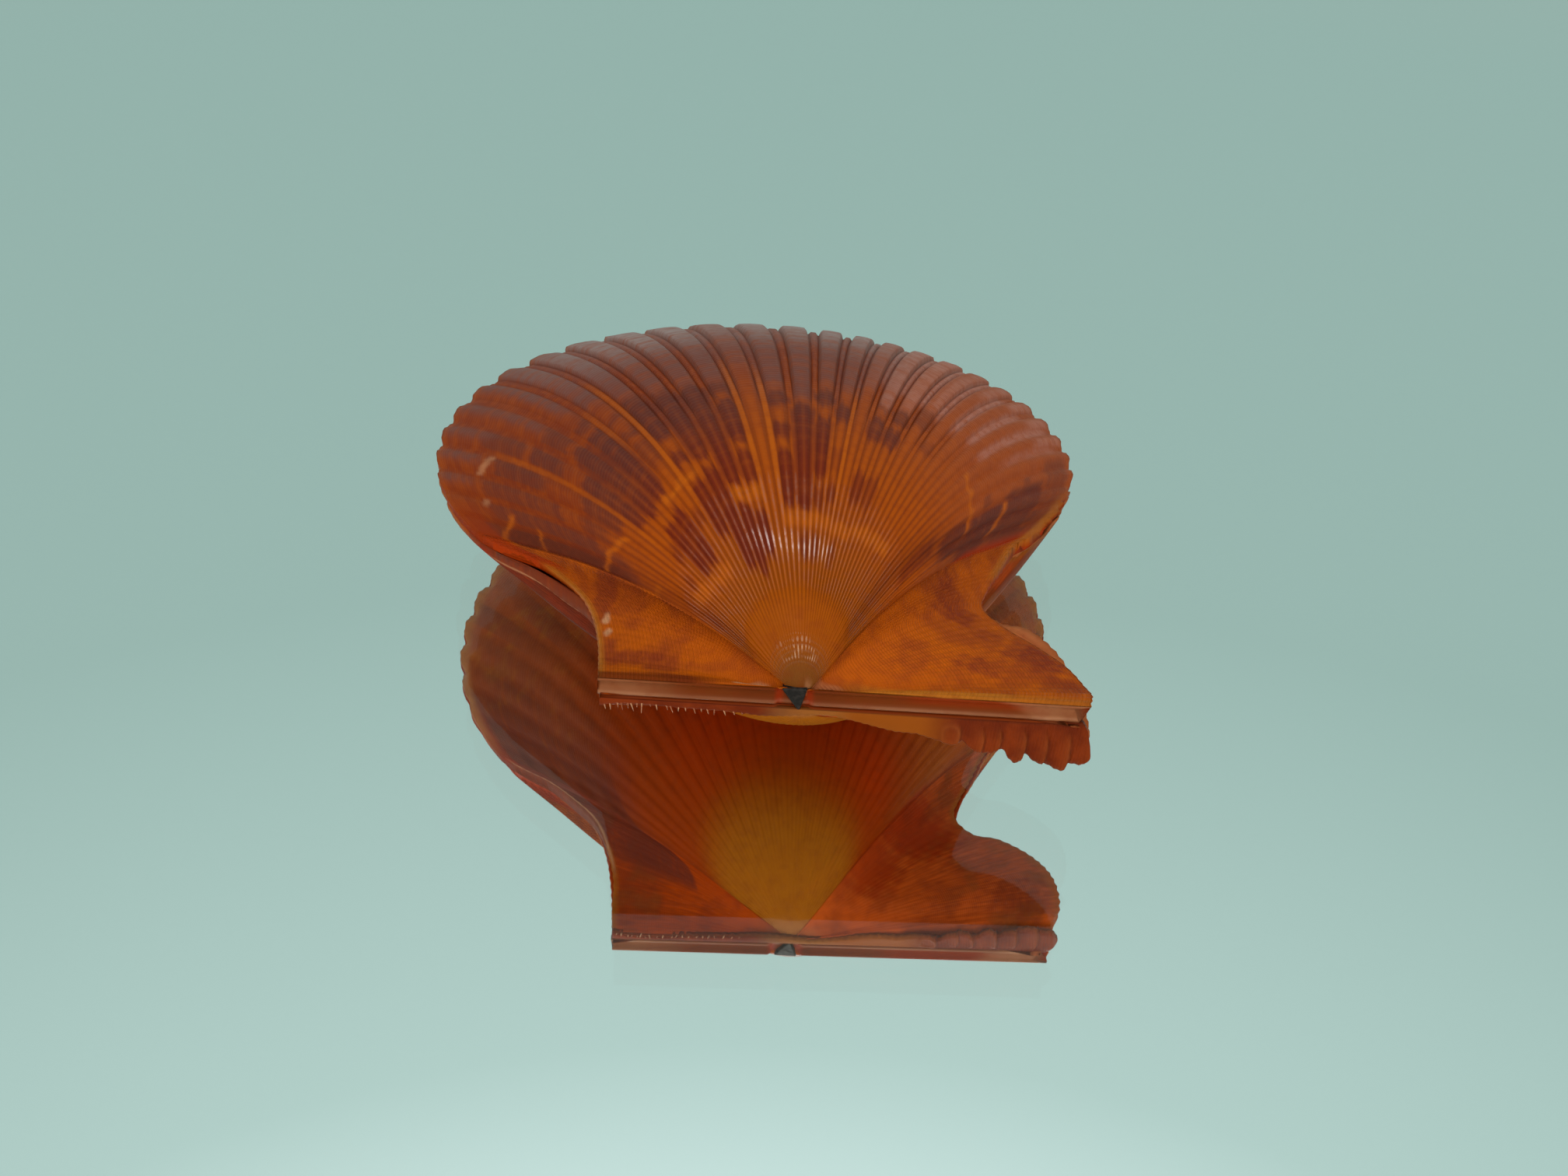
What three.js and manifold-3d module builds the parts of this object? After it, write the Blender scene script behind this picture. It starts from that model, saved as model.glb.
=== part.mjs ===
// Scallop shell (Mimachlamys crassicostata), both valves closed, lying on its right valve.
// Every valve grows by one rule: the margin shrinks towards the beak and turns about the hinge.
// Own frame while drawing: beak at the origin, +X forward along the hinge, +Y to the far margin,
// +Z up through the left valve. The whole shell is then tilted as it lies and set down on z = 0.
import * as THREE from 'three'
import Module from 'manifold-3d'

// disc
const DISC_X = -6.9                 // centre of the disc, seen along the hinge from the beak
const DISC_Y = 50.4                 // centre of the disc, out from the hinge
const DISC_A = 40.5                 // half length of the disc
const DISC_B = 35.6                 // half height of the round part of the disc
const ROUND_REAR = 129              // degrees from the far margin where the round part ends
const ROUND_FRONT = 120.3
const COIL_LEFT = [0.548, 0.19]     // how fast the left valve turns in, and how this eases off
const COIL_RIGHT = [0.612, 0.4]

// margins of the ears, from the corner on the hinge to the round part of the disc
const REAR_LEFT = [
  [-21.6, 0], [-22.1, 4.5], [-22.7, 8.5], [-23.7, 12.6], [-25.5, 16.6], [-28.8, 20.4], [-33.6, 24.6]
]
const REAR_RIGHT = [
  [-21.4, -0.5], [-22, 4.5], [-22.3, 8.5], [-23.5, 12.6], [-25.3, 16.2], [-28.8, 19.8], [-33.6, 24.4]
]
const FRONT_LEFT = [
  [30.4, 0], [30.7, 3], [28.6, 8], [25, 12], [21.8, 15.6], [20.2, 19], [21.3, 23.2], [24.2, 27.4]
]
const FRONT_RIGHT = [
  [29.3, -0.8], [30.8, 0.6], [31.5, 3], [31.4, 6.4], [30.4, 10], [28.2, 13.6], [25, 16.2], [22.2, 16.9],
  [19.9, 20], [21.3, 23.6], [24.2, 27.6]
]

// ribs
const RIBS = 30
const RIB_HEIGHT = 1.2
const RIB_TOP = 0.27                // half width of a rib's flat top, as a share of the spacing
const RIB_FOOT = 0.37
const EDGE_TOP = 0.17               // the same two at the margin, where both valves interlock
const EDGE_FOOT = 0.33
const EDGE_SHARE = 0.65             // height of the ribs at the margin, as a share of the rest
const SPACING_SWING = 0.14          // ribs are wider behind the middle and narrower in front
const SPACING_PHASE = 0.709

// edges and hinge
const HALF_GAP = 0.18               // half of the gap between the closed valves
const EDGE_THICK = 0.35
const HINGE_LIFT = 1.25             // height of the hinge edge above the plane between the valves
const HINGE_REACH = 6               // how far from the hinge that height fades out
const GAPE = 0.7                    // how far each valve stands off at the shoulders
const GAPE_REAR = [0.5, 0.8, 1.02, 1.16]        // where along the margin it begins, is full and ends
const GAPE_FRONT = [1.84, 1.98, 2.15, 2.35]
const WALL = 1.35
const UMBO_WALL = 2.4               // the wall is thicker under the beak
const HOLLOW_STAGES = [1, 0.9, 0.78, 0.64, 0.5, 0.36, 0.24, 0.16]
const HOLLOW_COLUMNS = 24
const HOLLOW_BELOW = 6              // the hollow's cutter reaches past the plane between the valves
const RIM = 0.95                    // inner end of the flat rim, as a share of the disc
const LIP = 0.997                   // inner end of the rounded edge
const MARGIN_DROP = 0.6             // the ribbed margin dips at most this far under the smooth surface
const BEAK_RISE = 0.3

// rows and columns of the surface: growth stages, and shares of the way along each ear's margin
const STAGES = [1, 0.95, 0.85, 0.72, 0.585, 0.455, 0.335, 0.225, 0.125, 0.055, 0.018]
const REAR_COLUMNS = [0, 0.12, 0.25, 0.38, 0.5, 0.62, 0.74, 0.87]
const FRONT_COLUMNS = [
  0.9, 0.8, 0.71, 0.65, 0.6, 0.54, 0.46, 0.36, 0.26, 0.17, 0.11, 0.075, 0.05, 0.03, 0.012, 0
]

// fold and scales on the right valve's front ear
const FOLD_DROP = 4.5               // how far the ear hangs below the hinge at the margin
const FOLD_START = -0.8
const FOLD_TOP = 1.2
const FOLD_END = 19
const EAR_THICK = 0.9
const REAR_DROP = 0.4
const SCALES = 7
const SCALE_LAST = 0.95             // growth stages of the newest and the oldest scale
const SCALE_FIRST = 0.53
const SCALE_REACH = 0.5             // how far a scale stands out below the fold
const SCALE_HALF = 1.7              // half width of the newest scale
const SCALE_SHRINK = 0.75
const SCALE_OUTLINE = [[-1, 0], [-0.95, 0.6], [-0.55, 0.92], [0, 1], [0.55, 0.92], [0.95, 0.6], [1, 0]]

// elastic pad between the beaks
const PAD = [[-2.3, 1.2], [0.35, 1.2], [-0.65, -1.0]]
const PAD_FRONT = -0.15
const PAD_DEPTH = 3
const PAD_GAP = 0.3
const PIT_FRONT = -3                // the pit is cut from in front of the hinge

// how the shell lies
const TILT_X = -5
const TILT_Y = 1.28

const rad = THREE.MathUtils.degToRad
const smooth = (x, lo, hi) => THREE.MathUtils.smoothstep(x, lo, hi)
const mix = THREE.MathUtils.lerp

const wasm = await Module()
wasm.setup()
const { Manifold, Mesh: Solid } = wasm

// round part of the disc margin, angle from the far margin
const roundPoint = angle => [DISC_X + DISC_A * Math.sin(angle), DISC_Y + DISC_B * Math.cos(angle)]

// shares of the way along the ribbed part where one column of the surface runs
const ribShare = u => {
  const v = u / RIBS
  const swing = Math.sin(2 * Math.PI * (v - SPACING_PHASE)) + Math.sin(2 * Math.PI * SPACING_PHASE)
  return v - SPACING_SWING * swing / (2 * Math.PI)
}

// height of the ribs of the left valve at rib coordinate u, 0 in the groove and 1 on top
const ribShape = (u, top, foot) => {
  const away = Math.abs(u - Math.floor(u) - 0.5)
  return 1 - THREE.MathUtils.clamp((away - top) / (foot - top), 0, 1)
}

const ribTaper = u => smooth(Math.min(u, RIBS - u), 0, 3)

// one valve's margin as a function of q: 0 to 1 rear ear, 1 to 2 disc, 2 to 3 front ear
function marginOf(rear, front) {
  const spline = points => new THREE.CatmullRomCurve3(points.map(p => new THREE.Vector3(p[0], p[1], 0)))
  const rearCurve = spline([...rear, roundPoint(-rad(ROUND_REAR))])
  const frontCurve = spline([...front, roundPoint(rad(ROUND_FRONT))])
  return q => {
    if (q <= 1) {
      const p = rearCurve.getPointAt(q)
      return [p.x, p.y]
    }
    if (q >= 2) {
      const p = frontCurve.getPointAt(3 - q)
      return [p.x, p.y]
    }
    return roundPoint(rad(mix(-ROUND_REAR, ROUND_FRONT, q - 1)))
  }
}

// columns of the surface: where each one meets the margin, and its rib coordinate
function columnsOf(right, stage) {
  const inner = 1 - smooth(stage, 0.93, 1)
  const top = mix(EDGE_TOP, RIB_TOP, inner)
  const foot = mix(EDGE_FOOT, RIB_FOOT, inner)
  const middle = right ? 0 : 0.5
  const columns = REAR_COLUMNS.map(share => ({ q: share, u: -1 }))
  for (let rib = 0; rib < RIBS; rib += 1) {
    for (const step of [-foot, -top, top, foot]) {
      const u = rib + middle + step
      if (u > 0.1) {
        columns.push({ q: 1 + ribShare(u), u })
      }
    }
  }
  FRONT_COLUMNS.forEach(share => columns.push({ q: 3 - share, u: -1 }))
  return columns
}

// the smooth surface of a valve, left valve's way up
function skin(margin, coil, stage, q) {
  const [mx, my] = margin(q)
  const turn = coil[0] / coil[1] * (1 - stage ** coil[1])
  const nearHinge = 1 - smooth(my, 0, HINGE_REACH)
  const lift = mix(HALF_GAP + EDGE_THICK, HINGE_LIFT, nearHinge)
  return new THREE.Vector3(
    stage * mx,
    stage * my * Math.cos(turn),
    lift + stage * my * Math.sin(turn) + gapeAt(q) * smooth(stage, 0.8, 1)
  )
}

// the valves stand off a little at both shoulders
function gapeAt(q) {
  const bump = ([begin, full, fade, end]) => smooth(q, begin, full) * (1 - smooth(q, fade, end))
  return GAPE * (bump(GAPE_REAR) + bump(GAPE_FRONT))
}

function outwardAt(margin, coil, stage, q) {
  const at = THREE.MathUtils.clamp(q, 0.004, 2.996)
  const alongMargin = skin(margin, coil, stage, at + 0.003).sub(skin(margin, coil, stage, at - 0.003))
  const alongGrowth = skin(margin, coil, stage * 1.01, at).sub(skin(margin, coil, stage * 0.99, at))
  return alongGrowth.cross(alongMargin).normalize().negate()
}

function ribHeight(stage) {
  return RIB_HEIGHT * stage ** 0.8 * mix(1, EDGE_SHARE, smooth(stage, 0.93, 1))
}

// half the rib height up or down; the right valve has its ribs in the left valve's grooves
function ribOffset(right, stage, u) {
  if (u < 0) {
    return 0
  }
  const inner = 1 - smooth(stage, 0.93, 1)
  const top = mix(EDGE_TOP, RIB_TOP, inner)
  const foot = mix(EDGE_FOOT, RIB_FOOT, inner)
  return ribHeight(stage) * ribTaper(u) * (ribShape(right ? u + 0.5 : u, top, foot) - 0.5)
}

// the right valve's front ear folds down at the hinge and comes up again towards the notch
function foldAt(q, stage, my) {
  if (q < 1) {
    return REAR_DROP * stage * (1 - smooth(my, 0, HINGE_REACH))
  }
  if (q < 2) {
    return 0
  }
  return FOLD_DROP * stage * smooth(my, FOLD_START, FOLD_TOP) * (1 - smooth(my, FOLD_TOP, FOLD_END))
}

function valve(right, rear, front, coil) {
  const margin = marginOf(rear, front)
  const vertices = []
  const triangles = []
  const add = (x, y, z) => {
    vertices.push([x, y, z])
    return vertices.length - 1
  }
  const face = (a, b, c) => triangles.push(right ? [a, c, b] : [a, b, c])

  // outer surface, from the margin to the beak
  const rows = STAGES.map(stage => columnsOf(right, stage).map(({ q, u }) => {
    const out = outwardAt(margin, coil, stage, q)
    const p = skin(margin, coil, stage, q)
    p.addScaledVector(out, ribOffset(right, stage, u))
    if (stage === 1) {
      p.z = HALF_GAP + EDGE_THICK + gapeAt(q) + ribOffset(right, stage, u)
      p.z = Math.max(p.z, skin(margin, coil, 1, q).z - MARGIN_DROP)
      if (u < 0) {
        p.z = skin(margin, coil, 1, q).z
      }
    }
    if (right) {
      p.z += foldAt(q, stage, margin(q)[1])
    }
    return add(p.x, p.y, p.z)
  }))
  const tip = add(0, 0, (HALF_GAP + HINGE_LIFT) / 2 + BEAK_RISE)
  const last = rows[0].length - 1
  for (let j = 0; j + 1 < rows.length; j += 1) {
    for (let i = 0; i < last; i += 1) {
      face(rows[j][i], rows[j + 1][i], rows[j][i + 1])
      face(rows[j][i + 1], rows[j + 1][i], rows[j + 1][i + 1])
    }
  }
  const beak = rows[rows.length - 1]
  for (let i = 0; i < last; i += 1) {
    face(beak[i], tip, beak[i + 1])
  }

  // edge and rim on the plane between the valves
  const edge = []
  const rim = []
  columnsOf(right, 1).forEach(({ q, u }, i) => {
    const [x, y] = vertices[rows[0][i]]
    const wave = u < 0 ? 0 : ribOffset(right, 1, u)
    const depth = vertices[rows[0][i]][2]
    const under = right && q > 2 && q < 2.995 ? Math.max(HALF_GAP + gapeAt(q), depth - EAR_THICK) : 0
    edge.push(add(x * LIP, y * LIP, under || HALF_GAP + gapeAt(q) + wave))
    rim.push(add(x * RIM, y * RIM, under || HALF_GAP + gapeAt(q) * 0.6 + wave * 0.5))
  })
  const middle = add(0, DISC_Y, HALF_GAP)
  for (let i = 0; i < last; i += 1) {
    face(rows[0][i], rows[0][i + 1], edge[i])
    face(edge[i], rows[0][i + 1], edge[i + 1])
    face(edge[i], edge[i + 1], rim[i])
    face(rim[i], edge[i + 1], rim[i + 1])
    face(rim[i], rim[i + 1], middle)
  }
  face(rim[last], rim[0], middle)

  // hinge face, a strip from one ear's corner to the other's
  const loop = [rim[0], edge[0], ...rows.map(row => row[0]), tip]
  loop.push(...rows.map(row => row[last]).reverse(), edge[last], rim[last])
  const centre = add(0, 0, (HALF_GAP + HINGE_LIFT) / 2)
  loop.forEach((from, n) => face(loop[(n + 1) % loop.length], from, centre))

  // hollow for the animal
  const hollow = []
  for (let n = 0; n <= HOLLOW_COLUMNS; n += 1) {
    const q = 1 + n / HOLLOW_COLUMNS
    for (const stage of HOLLOW_STAGES) {
      const wall = mix(WALL, UMBO_WALL, 1 - smooth(stage, 0.1, 0.6))
      const p = skin(margin, coil, stage, q).addScaledVector(outwardAt(margin, coil, stage, q), -wall)
      hollow.push([p.x, p.y, p.z], [p.x, p.y, -HOLLOW_BELOW])
    }
  }

  const sign = right ? -1 : 1
  const flip = list => list.map(([x, y, z]) => [x, y, sign * z])
  const body = new Manifold(new Solid({
    numProp: 3,
    vertProperties: new Float32Array(flip(vertices).flat()),
    triVerts: new Uint32Array(triangles.flat())
  }))
  return body.subtract(Manifold.hull(flip(hollow)))
}

// wedge along the hinge's depth, its outline grown by a margin about its inner circle
function wedge(grow, from, to) {
  const [a, b, c] = PAD.map(p => new THREE.Vector2(...p))
  const sides = [b.distanceTo(c), c.distanceTo(a), a.distanceTo(b)]
  const round = sides[0] + sides[1] + sides[2]
  const heart = a.clone().multiplyScalar(sides[0] / round)
  heart.addScaledVector(b, sides[1] / round).addScaledVector(c, sides[2] / round)
  const radius = Math.abs(b.clone().sub(a).cross(c.clone().sub(a))) / round
  const points = []
  for (const p of [a, b, c]) {
    const q = p.clone().sub(heart).multiplyScalar((radius + grow) / radius).add(heart)
    points.push([q.x, from, q.y], [q.x, to, q.y])
  }
  return Manifold.hull(points)
}

// one rounded scale hanging down the fold of the right valve's front ear
function scale(n) {
  const stage = mix(SCALE_LAST, SCALE_FIRST, n / (SCALES - 1))
  const [cornerX, cornerY] = FRONT_RIGHT[0]
  const drop = (FOLD_DROP + SCALE_REACH) * stage
  const half = SCALE_HALF * mix(1, SCALE_SHRINK, n / (SCALES - 1))
  const points = []
  for (const [side, down] of SCALE_OUTLINE) {
    const x = stage * cornerX + side * half
    const y = stage * cornerY - 0.12 * down * drop + side * 0.35
    const z = -HINGE_LIFT + BEAK_RISE - down * drop
    points.push([x, y - 0.25, z], [x, y + EAR_THICK, z])
  }
  return Manifold.hull(points)
}

function meshOf(name, solid, colour, roughness) {
  const raw = solid.getMesh()
  const geometry = new THREE.BufferGeometry()
  const spots = new Float32Array(raw.numVert * 3)
  for (let i = 0; i < raw.numVert; i += 1) {
    for (let k = 0; k < 3; k += 1) {
      spots[3 * i + k] = raw.vertProperties[raw.numProp * i + k]
    }
  }
  geometry.setAttribute('position', new THREE.BufferAttribute(spots, 3))
  geometry.setIndex(new THREE.BufferAttribute(new Uint32Array(raw.triVerts), 1))
  geometry.computeVertexNormals()
  const material = new THREE.MeshStandardMaterial({ color: colour, roughness, metalness: 0 })
  const mesh = new THREE.Mesh(geometry, material)
  mesh.name = name
  return mesh
}

const pit = wedge(PAD_GAP, PIT_FRONT, PAD_DEPTH + PAD_GAP)
const left = valve(false, REAR_LEFT, FRONT_LEFT, COIL_LEFT).subtract(pit)
const scales = []
for (let n = 0; n < SCALES; n += 1) {
  scales.push(scale(n))
}
const right = Manifold.union([valve(true, REAR_RIGHT, FRONT_RIGHT, COIL_RIGHT), ...scales]).subtract(pit)
const pad = wedge(0, PAD_FRONT, PAD_DEPTH)

const group = new THREE.Group()
group.name = 'mimachlamys_crassicostata_shell'
group.add(meshOf('left_valve', left, 0xa5481c, 0.45))
group.add(meshOf('right_valve', right, 0xa9531f, 0.45))
group.add(meshOf('ligament', pad, 0x15161a, 0.3))

// lay the shell down: tilt, then stand it on z = 0 over the origin
const lie = new THREE.Matrix4().makeRotationY(rad(TILT_Y))
lie.multiply(new THREE.Matrix4().makeRotationX(rad(TILT_X)))
group.children.forEach(mesh => mesh.geometry.applyMatrix4(lie))
const box = new THREE.Box3().setFromObject(group)
const centre = box.getCenter(new THREE.Vector3())
group.children.forEach(mesh => mesh.geometry.translate(-centre.x, -centre.y, -box.min.z))

export default group
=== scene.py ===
import math

import bmesh
import bpy
import numpy as np
from mathutils import Matrix, Vector


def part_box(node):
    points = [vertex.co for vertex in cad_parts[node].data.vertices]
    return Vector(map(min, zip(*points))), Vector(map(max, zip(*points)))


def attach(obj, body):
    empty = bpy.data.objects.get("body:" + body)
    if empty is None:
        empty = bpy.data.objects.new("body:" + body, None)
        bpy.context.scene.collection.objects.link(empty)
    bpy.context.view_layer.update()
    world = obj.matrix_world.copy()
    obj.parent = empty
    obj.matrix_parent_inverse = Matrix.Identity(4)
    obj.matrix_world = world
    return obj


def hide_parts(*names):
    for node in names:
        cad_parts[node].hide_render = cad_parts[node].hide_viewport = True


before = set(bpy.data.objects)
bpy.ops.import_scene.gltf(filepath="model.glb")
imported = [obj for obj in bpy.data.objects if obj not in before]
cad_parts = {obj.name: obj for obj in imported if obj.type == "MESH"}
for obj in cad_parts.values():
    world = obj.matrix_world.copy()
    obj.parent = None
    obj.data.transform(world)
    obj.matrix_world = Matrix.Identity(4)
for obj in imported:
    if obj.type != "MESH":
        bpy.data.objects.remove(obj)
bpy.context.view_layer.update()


# How the shell lies. Its own millimetres have the beak at the origin, X forward along the hinge and
# Y to the far margin. It was tilted to rest on the lower valve, and the elastic pad shows where it came.
MM = 0.001
TILT_FORWARD = math.radians(-5)
TILT_SIDEWAYS = math.radians(1.28)
TILT = np.array(Matrix.Rotation(TILT_SIDEWAYS, 3, "Y") @ Matrix.Rotation(TILT_FORWARD, 3, "X"))
PAD = [(-2.3, 1.2), (0.35, 1.2), (-0.65, -1)]  # corners of the solid pad in own x and z
PAD_FRONT = -0.15
PAD_BACK = 3
pad_corners = np.array([(x, y, z) for x, z in PAD for y in (PAD_FRONT, PAD_BACK)])
PLACE = np.array(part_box("ligament")[0]) / MM - (pad_corners @ TILT.T).min(0)


def lay_down(points):
    """Points in the shell's own millimetres, as metres in the frame."""
    return (np.asarray(points, float) @ TILT.T + PLACE) * MM


# Camera. It stands low over the hinge and looks down across the upper valve, as the photographer did.
CAMERA_AWAY = (0.369, -144.137, 134.14)  # from the beak, in millimetres
CAMERA_TURNS = [(1.045, "Z"), (50.57, "X"), (1.746, "Z")]
CAMERA_LENS = 42.73
scene = bpy.context.scene


def add_object(name, data):
    made = bpy.data.objects.new(name, data)
    scene.collection.objects.link(made)
    return made


lens = bpy.data.cameras.new("camera")
lens.sensor_fit = "HORIZONTAL"
lens.sensor_width = 36
lens.lens = CAMERA_LENS
lens.clip_start = 0.01
camera = add_object("camera", lens)
stand = Matrix.Translation((PLACE + CAMERA_AWAY) * MM)
for turn, axis in CAMERA_TURNS:
    stand = stand @ Matrix.Rotation(math.radians(turn), 4, axis)
camera.matrix_world = stand
scene.camera = camera
scene.view_settings.view_transform = "Standard"


# Floor and light. The shell lies on a mirror under a pale green studio sky, with a long soft box behind
# it and a smaller one over the photographer. The mirror is a polished sheet with a clear glass front.
class Wire:
    """A node's output. Arithmetic on it adds Math nodes, in a material and in a geometry tree alike."""

    def __init__(self, tree, socket=None):
        self.tree = tree
        self.socket = socket

    def node(self, kind, settings=(), sockets=(), output=0):
        """Any node: its settings first, then the values or links of its sockets by name or number."""
        made = self.tree.nodes.new(kind)
        for name, value in dict(settings).items():
            setattr(made, name, value)
        for name, value in dict(sockets).items():
            if isinstance(value, Wire):
                self.tree.links.new(made.inputs[name], value.socket)
            else:
                made.inputs[name].default_value = value
        return Wire(self.tree, made.outputs[output] if len(made.outputs) else None)

    def mark(self, name):
        """A value that the mesh keeps on its points."""
        return self.node("ShaderNodeAttribute", {"attribute_name": name}, (), output=2)

    def fact(self, name, kind="FLOAT"):
        """The same in a geometry tree."""
        return self.node("GeometryNodeInputNamedAttribute", {"data_type": kind}, {"Name": name})

    def noise(self, scale, detail, place=None):
        """A cloudy value between 0 and 1, spread over the object's own coordinates or over a place."""
        place = place or self.node("ShaderNodeTexCoord", (), (), output=3)
        return self.node("ShaderNodeTexNoise", (), {"Vector": place, "Scale": scale, "Detail": detail})

    def bump(self):
        """A surface direction from the value as a height in millimetres."""
        return self.node("ShaderNodeBump", (), {"Strength": 1, "Distance": MM, "Height": self})

    def show(self, shader):
        self.node("ShaderNodeOutputMaterial", (), {"Surface": shader})

    def paint(self, sockets):
        self.show(self.node("ShaderNodeBsdfPrincipled", (), sockets))

    def math(self, operation, *others):
        return self.node("ShaderNodeMath", {"operation": operation}, dict(enumerate((self, *others))))

    def __add__(self, other):
        return self.math("ADD", other)

    def __sub__(self, other):
        return self.math("SUBTRACT", other)

    def __rsub__(self, other):
        return self * -1 + other

    def __mul__(self, other):
        return self.math("MULTIPLY", other)

    def __pow__(self, other):
        return self.math("POWER", other)

    __radd__ = __add__
    __rmul__ = __mul__

    def step(self, low, high):
        """0 at low and before it, 1 at high and past it, with a soft change. Low may be the larger."""
        sockets = {"Value": self, "From Min": low, "From Max": high}
        return self.node("ShaderNodeMapRange", {"interpolation_type": "SMOOTHSTEP"}, sockets)

    def wave(self, cycles, shift=0):
        """A sine of the value between -1 and 1."""
        return (self * (2 * math.pi * cycles) + shift).math("SINE")

    def over(self, under, cover):
        """Colour: under where the value is 0 and cover where it is 1."""
        sockets = {0: self, 6: under, 7: cover}
        for n in (6, 7):
            if not isinstance(sockets[n], Wire):
                sockets[n] = (*sockets[n], 1)
        return self.node("ShaderNodeMix", {"data_type": "RGBA"}, sockets, output=2)


def material_tree(name):
    """A new empty material and a wire to start from."""
    made = bpy.data.materials.new(name)
    made.use_nodes = True
    made.node_tree.nodes.clear()
    return made, Wire(made.node_tree)


SKY = [  # upward, and its colour there
    (0, (.42, .5, .47)), (.3, (.34, .47, .43)), (.37, (.33, .48, .44)), (.63, (.36, .51, .47)),
    (.8, (.5, .67, .63)), (.86, (.7, .87, .84)), (.93, (.62, .66, .62))]
SKY_BEHIND = (1.45, 1.28, 1.1)  # a warm white wall behind the photographer
world = bpy.data.worlds.new("studio")
world.use_nodes = True
world.node_tree.nodes.clear()
sky = Wire(world.node_tree)
upward = sky.node("ShaderNodeTexCoord")
height = sky.node("ShaderNodeSeparateXYZ", (), {0: upward}, output=2)
ramp = sky.node("ShaderNodeValToRGB", (), {0: height})
stops = ramp.socket.node.color_ramp.elements
while len(stops) < len(SKY):
    stops.new(0.5)
for stop, (place, colour) in zip(stops, SKY):
    stop.position = place
    stop.color = (*colour, 1)
behind = sky.node("ShaderNodeSeparateXYZ", (), {0: upward}, output=1).step(0.1, -0.6)
background = sky.node("ShaderNodeBackground", (), {"Color": behind.over(ramp, SKY_BEHIND), "Strength": 1})
sky.node("ShaderNodeOutputWorld", (), {"Surface": background})
scene.world = world


SHELL_MIDDLE = (0, 0, 0.02)


def soft_box(name, away, wide, deep, power, colour):
    """An area light that looks at the shell's middle from a direction and distance in metres."""
    lamp = bpy.data.lights.new(name, "AREA")
    lamp.shape = "RECTANGLE"
    lamp.size = wide
    lamp.size_y = deep
    lamp.energy = power
    lamp.color = colour
    aim = (-Vector(away)).to_track_quat("-Z", "Y").to_matrix().to_4x4()
    box = add_object(name, lamp)
    box.matrix_world = Matrix.Translation(SHELL_MIDDLE) @ Matrix.Translation(away) @ aim


soft_box("box_above", (0, 0.19, 0.77), 0.5, 0.1, 1.5, (1, 0.98, 0.95))
soft_box("box_front", (-0.05, -0.42, 0.83), 0.3, 0.16, 1, (1, 0.98, 0.94))

FLOOR_HALF = 3
SILVER = (0.9, 0.94, 0.93, 1)
GLASS_THICK = 0.0033
GLASS_MIRRORS = 0.045  # the share of light that the glass front sends back
floor_mesh = bpy.data.meshes.new("floor")
corners = [(x * FLOOR_HALF, y * FLOOR_HALF, 0) for x, y in ((-1, -1), (1, -1), (1, 1), (-1, 1))]
floor_mesh.from_pydata(corners, [], [(0, 1, 2, 3)])
floor = add_object("floor", floor_mesh)
silvering, wire = material_tree("silvering")
cloud = wire.node("ShaderNodeTexNoise", (), {"Scale": 6, "Detail": 2})
wire.paint({"Base Color": SILVER, "Metallic": 1, "Roughness": cloud * 0.02 + 0.01})
floor_mesh.materials.append(silvering)
# the glass front gives the second, faint reflection that lies over the first as a pale band
front_mesh = floor_mesh.copy()
front_mesh.transform(Matrix.Translation((0, 0, GLASS_THICK)))
glass_front = add_object("glass_front", front_mesh)
clear, wire = material_tree("clear_glass")
wire.show(wire.node("ShaderNodeMixShader", (), {
    0: GLASS_MIRRORS, 1: wire.node("ShaderNodeBsdfTransparent"),
    2: wire.node("ShaderNodeBsdfGlossy", (), {"Roughness": 0.02})}))
front_mesh.materials.clear()
front_mesh.materials.append(clear)


# Left valve, the upper one: a thin calcite shell with two ears, thirty flat ribs and a fine riblet in
# each groove. It grew by adding to its margin, so each growth line is the margin at a smaller size.
DISC_X = -6.9  # middle of the disc's margin, and its half width and height
DISC_Y = 50.4
DISC_A = 40.5
DISC_B = 35.6
ROUND_REAR = 129  # degrees from the far margin to each ear
ROUND_FRONT = 120.3
RIBS = 30
RIB_SWING = 0.14  # ribs stand closer on one side of the disc
RIB_SWING_START = 0.709
RIB_COLUMNS = [0, 0.06, 0.115, 0.15, 0.2, 0.25, 0.36, 0.5, 0.64, 0.75, 0.8, 0.85, 0.885, 0.94]
REAR_RIBLETS = 26
FRONT_RIBLETS = 32
GROW_ROWS = 118
FIRST_STAGE = 0.02
GROW_POWER = 1.25  # rows lie closer towards the beak
INNER_STAGES = [0.93, 0.85, 0.75, 0.63, 0.5, 0.38, 0.27]
WALL_FAR = 1.35  # thickness of the wall at the margin and at the beak
WALL_BEAK = 2.4
PLATE = 0.18  # the inside stays this far above the plane between the valves
DIVISION = 0.45  # the valves part this far below the hinge line's middle
LIFT = 0.53  # how far the surface starts above that plane
SHOULDER_OUT = 1.1  # how far the rear shoulder stands out and the front one in
SHOULDER_IN = 1.9
REAR_LEFT = [
    (-21.6, 0), (-22.1, 4.5), (-22.7, 8.5), (-23.7, 12.6), (-25.5, 16.6), (-28.8, 20.4), (-33.6, 24.6)]
FRONT_LEFT = [
    (30.4, 0), (30.9, 3.2), (29.2, 8), (25.9, 12), (22.3, 15.6), (20.2, 19), (21.3, 23.2), (24.2, 27.4)]
# turn, how fast it opens, height of the hinge line, gape at the rear and the front shoulder
COIL_LEFT = (0.548, 0.19, 1.95, 0.5, 0.7)


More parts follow.
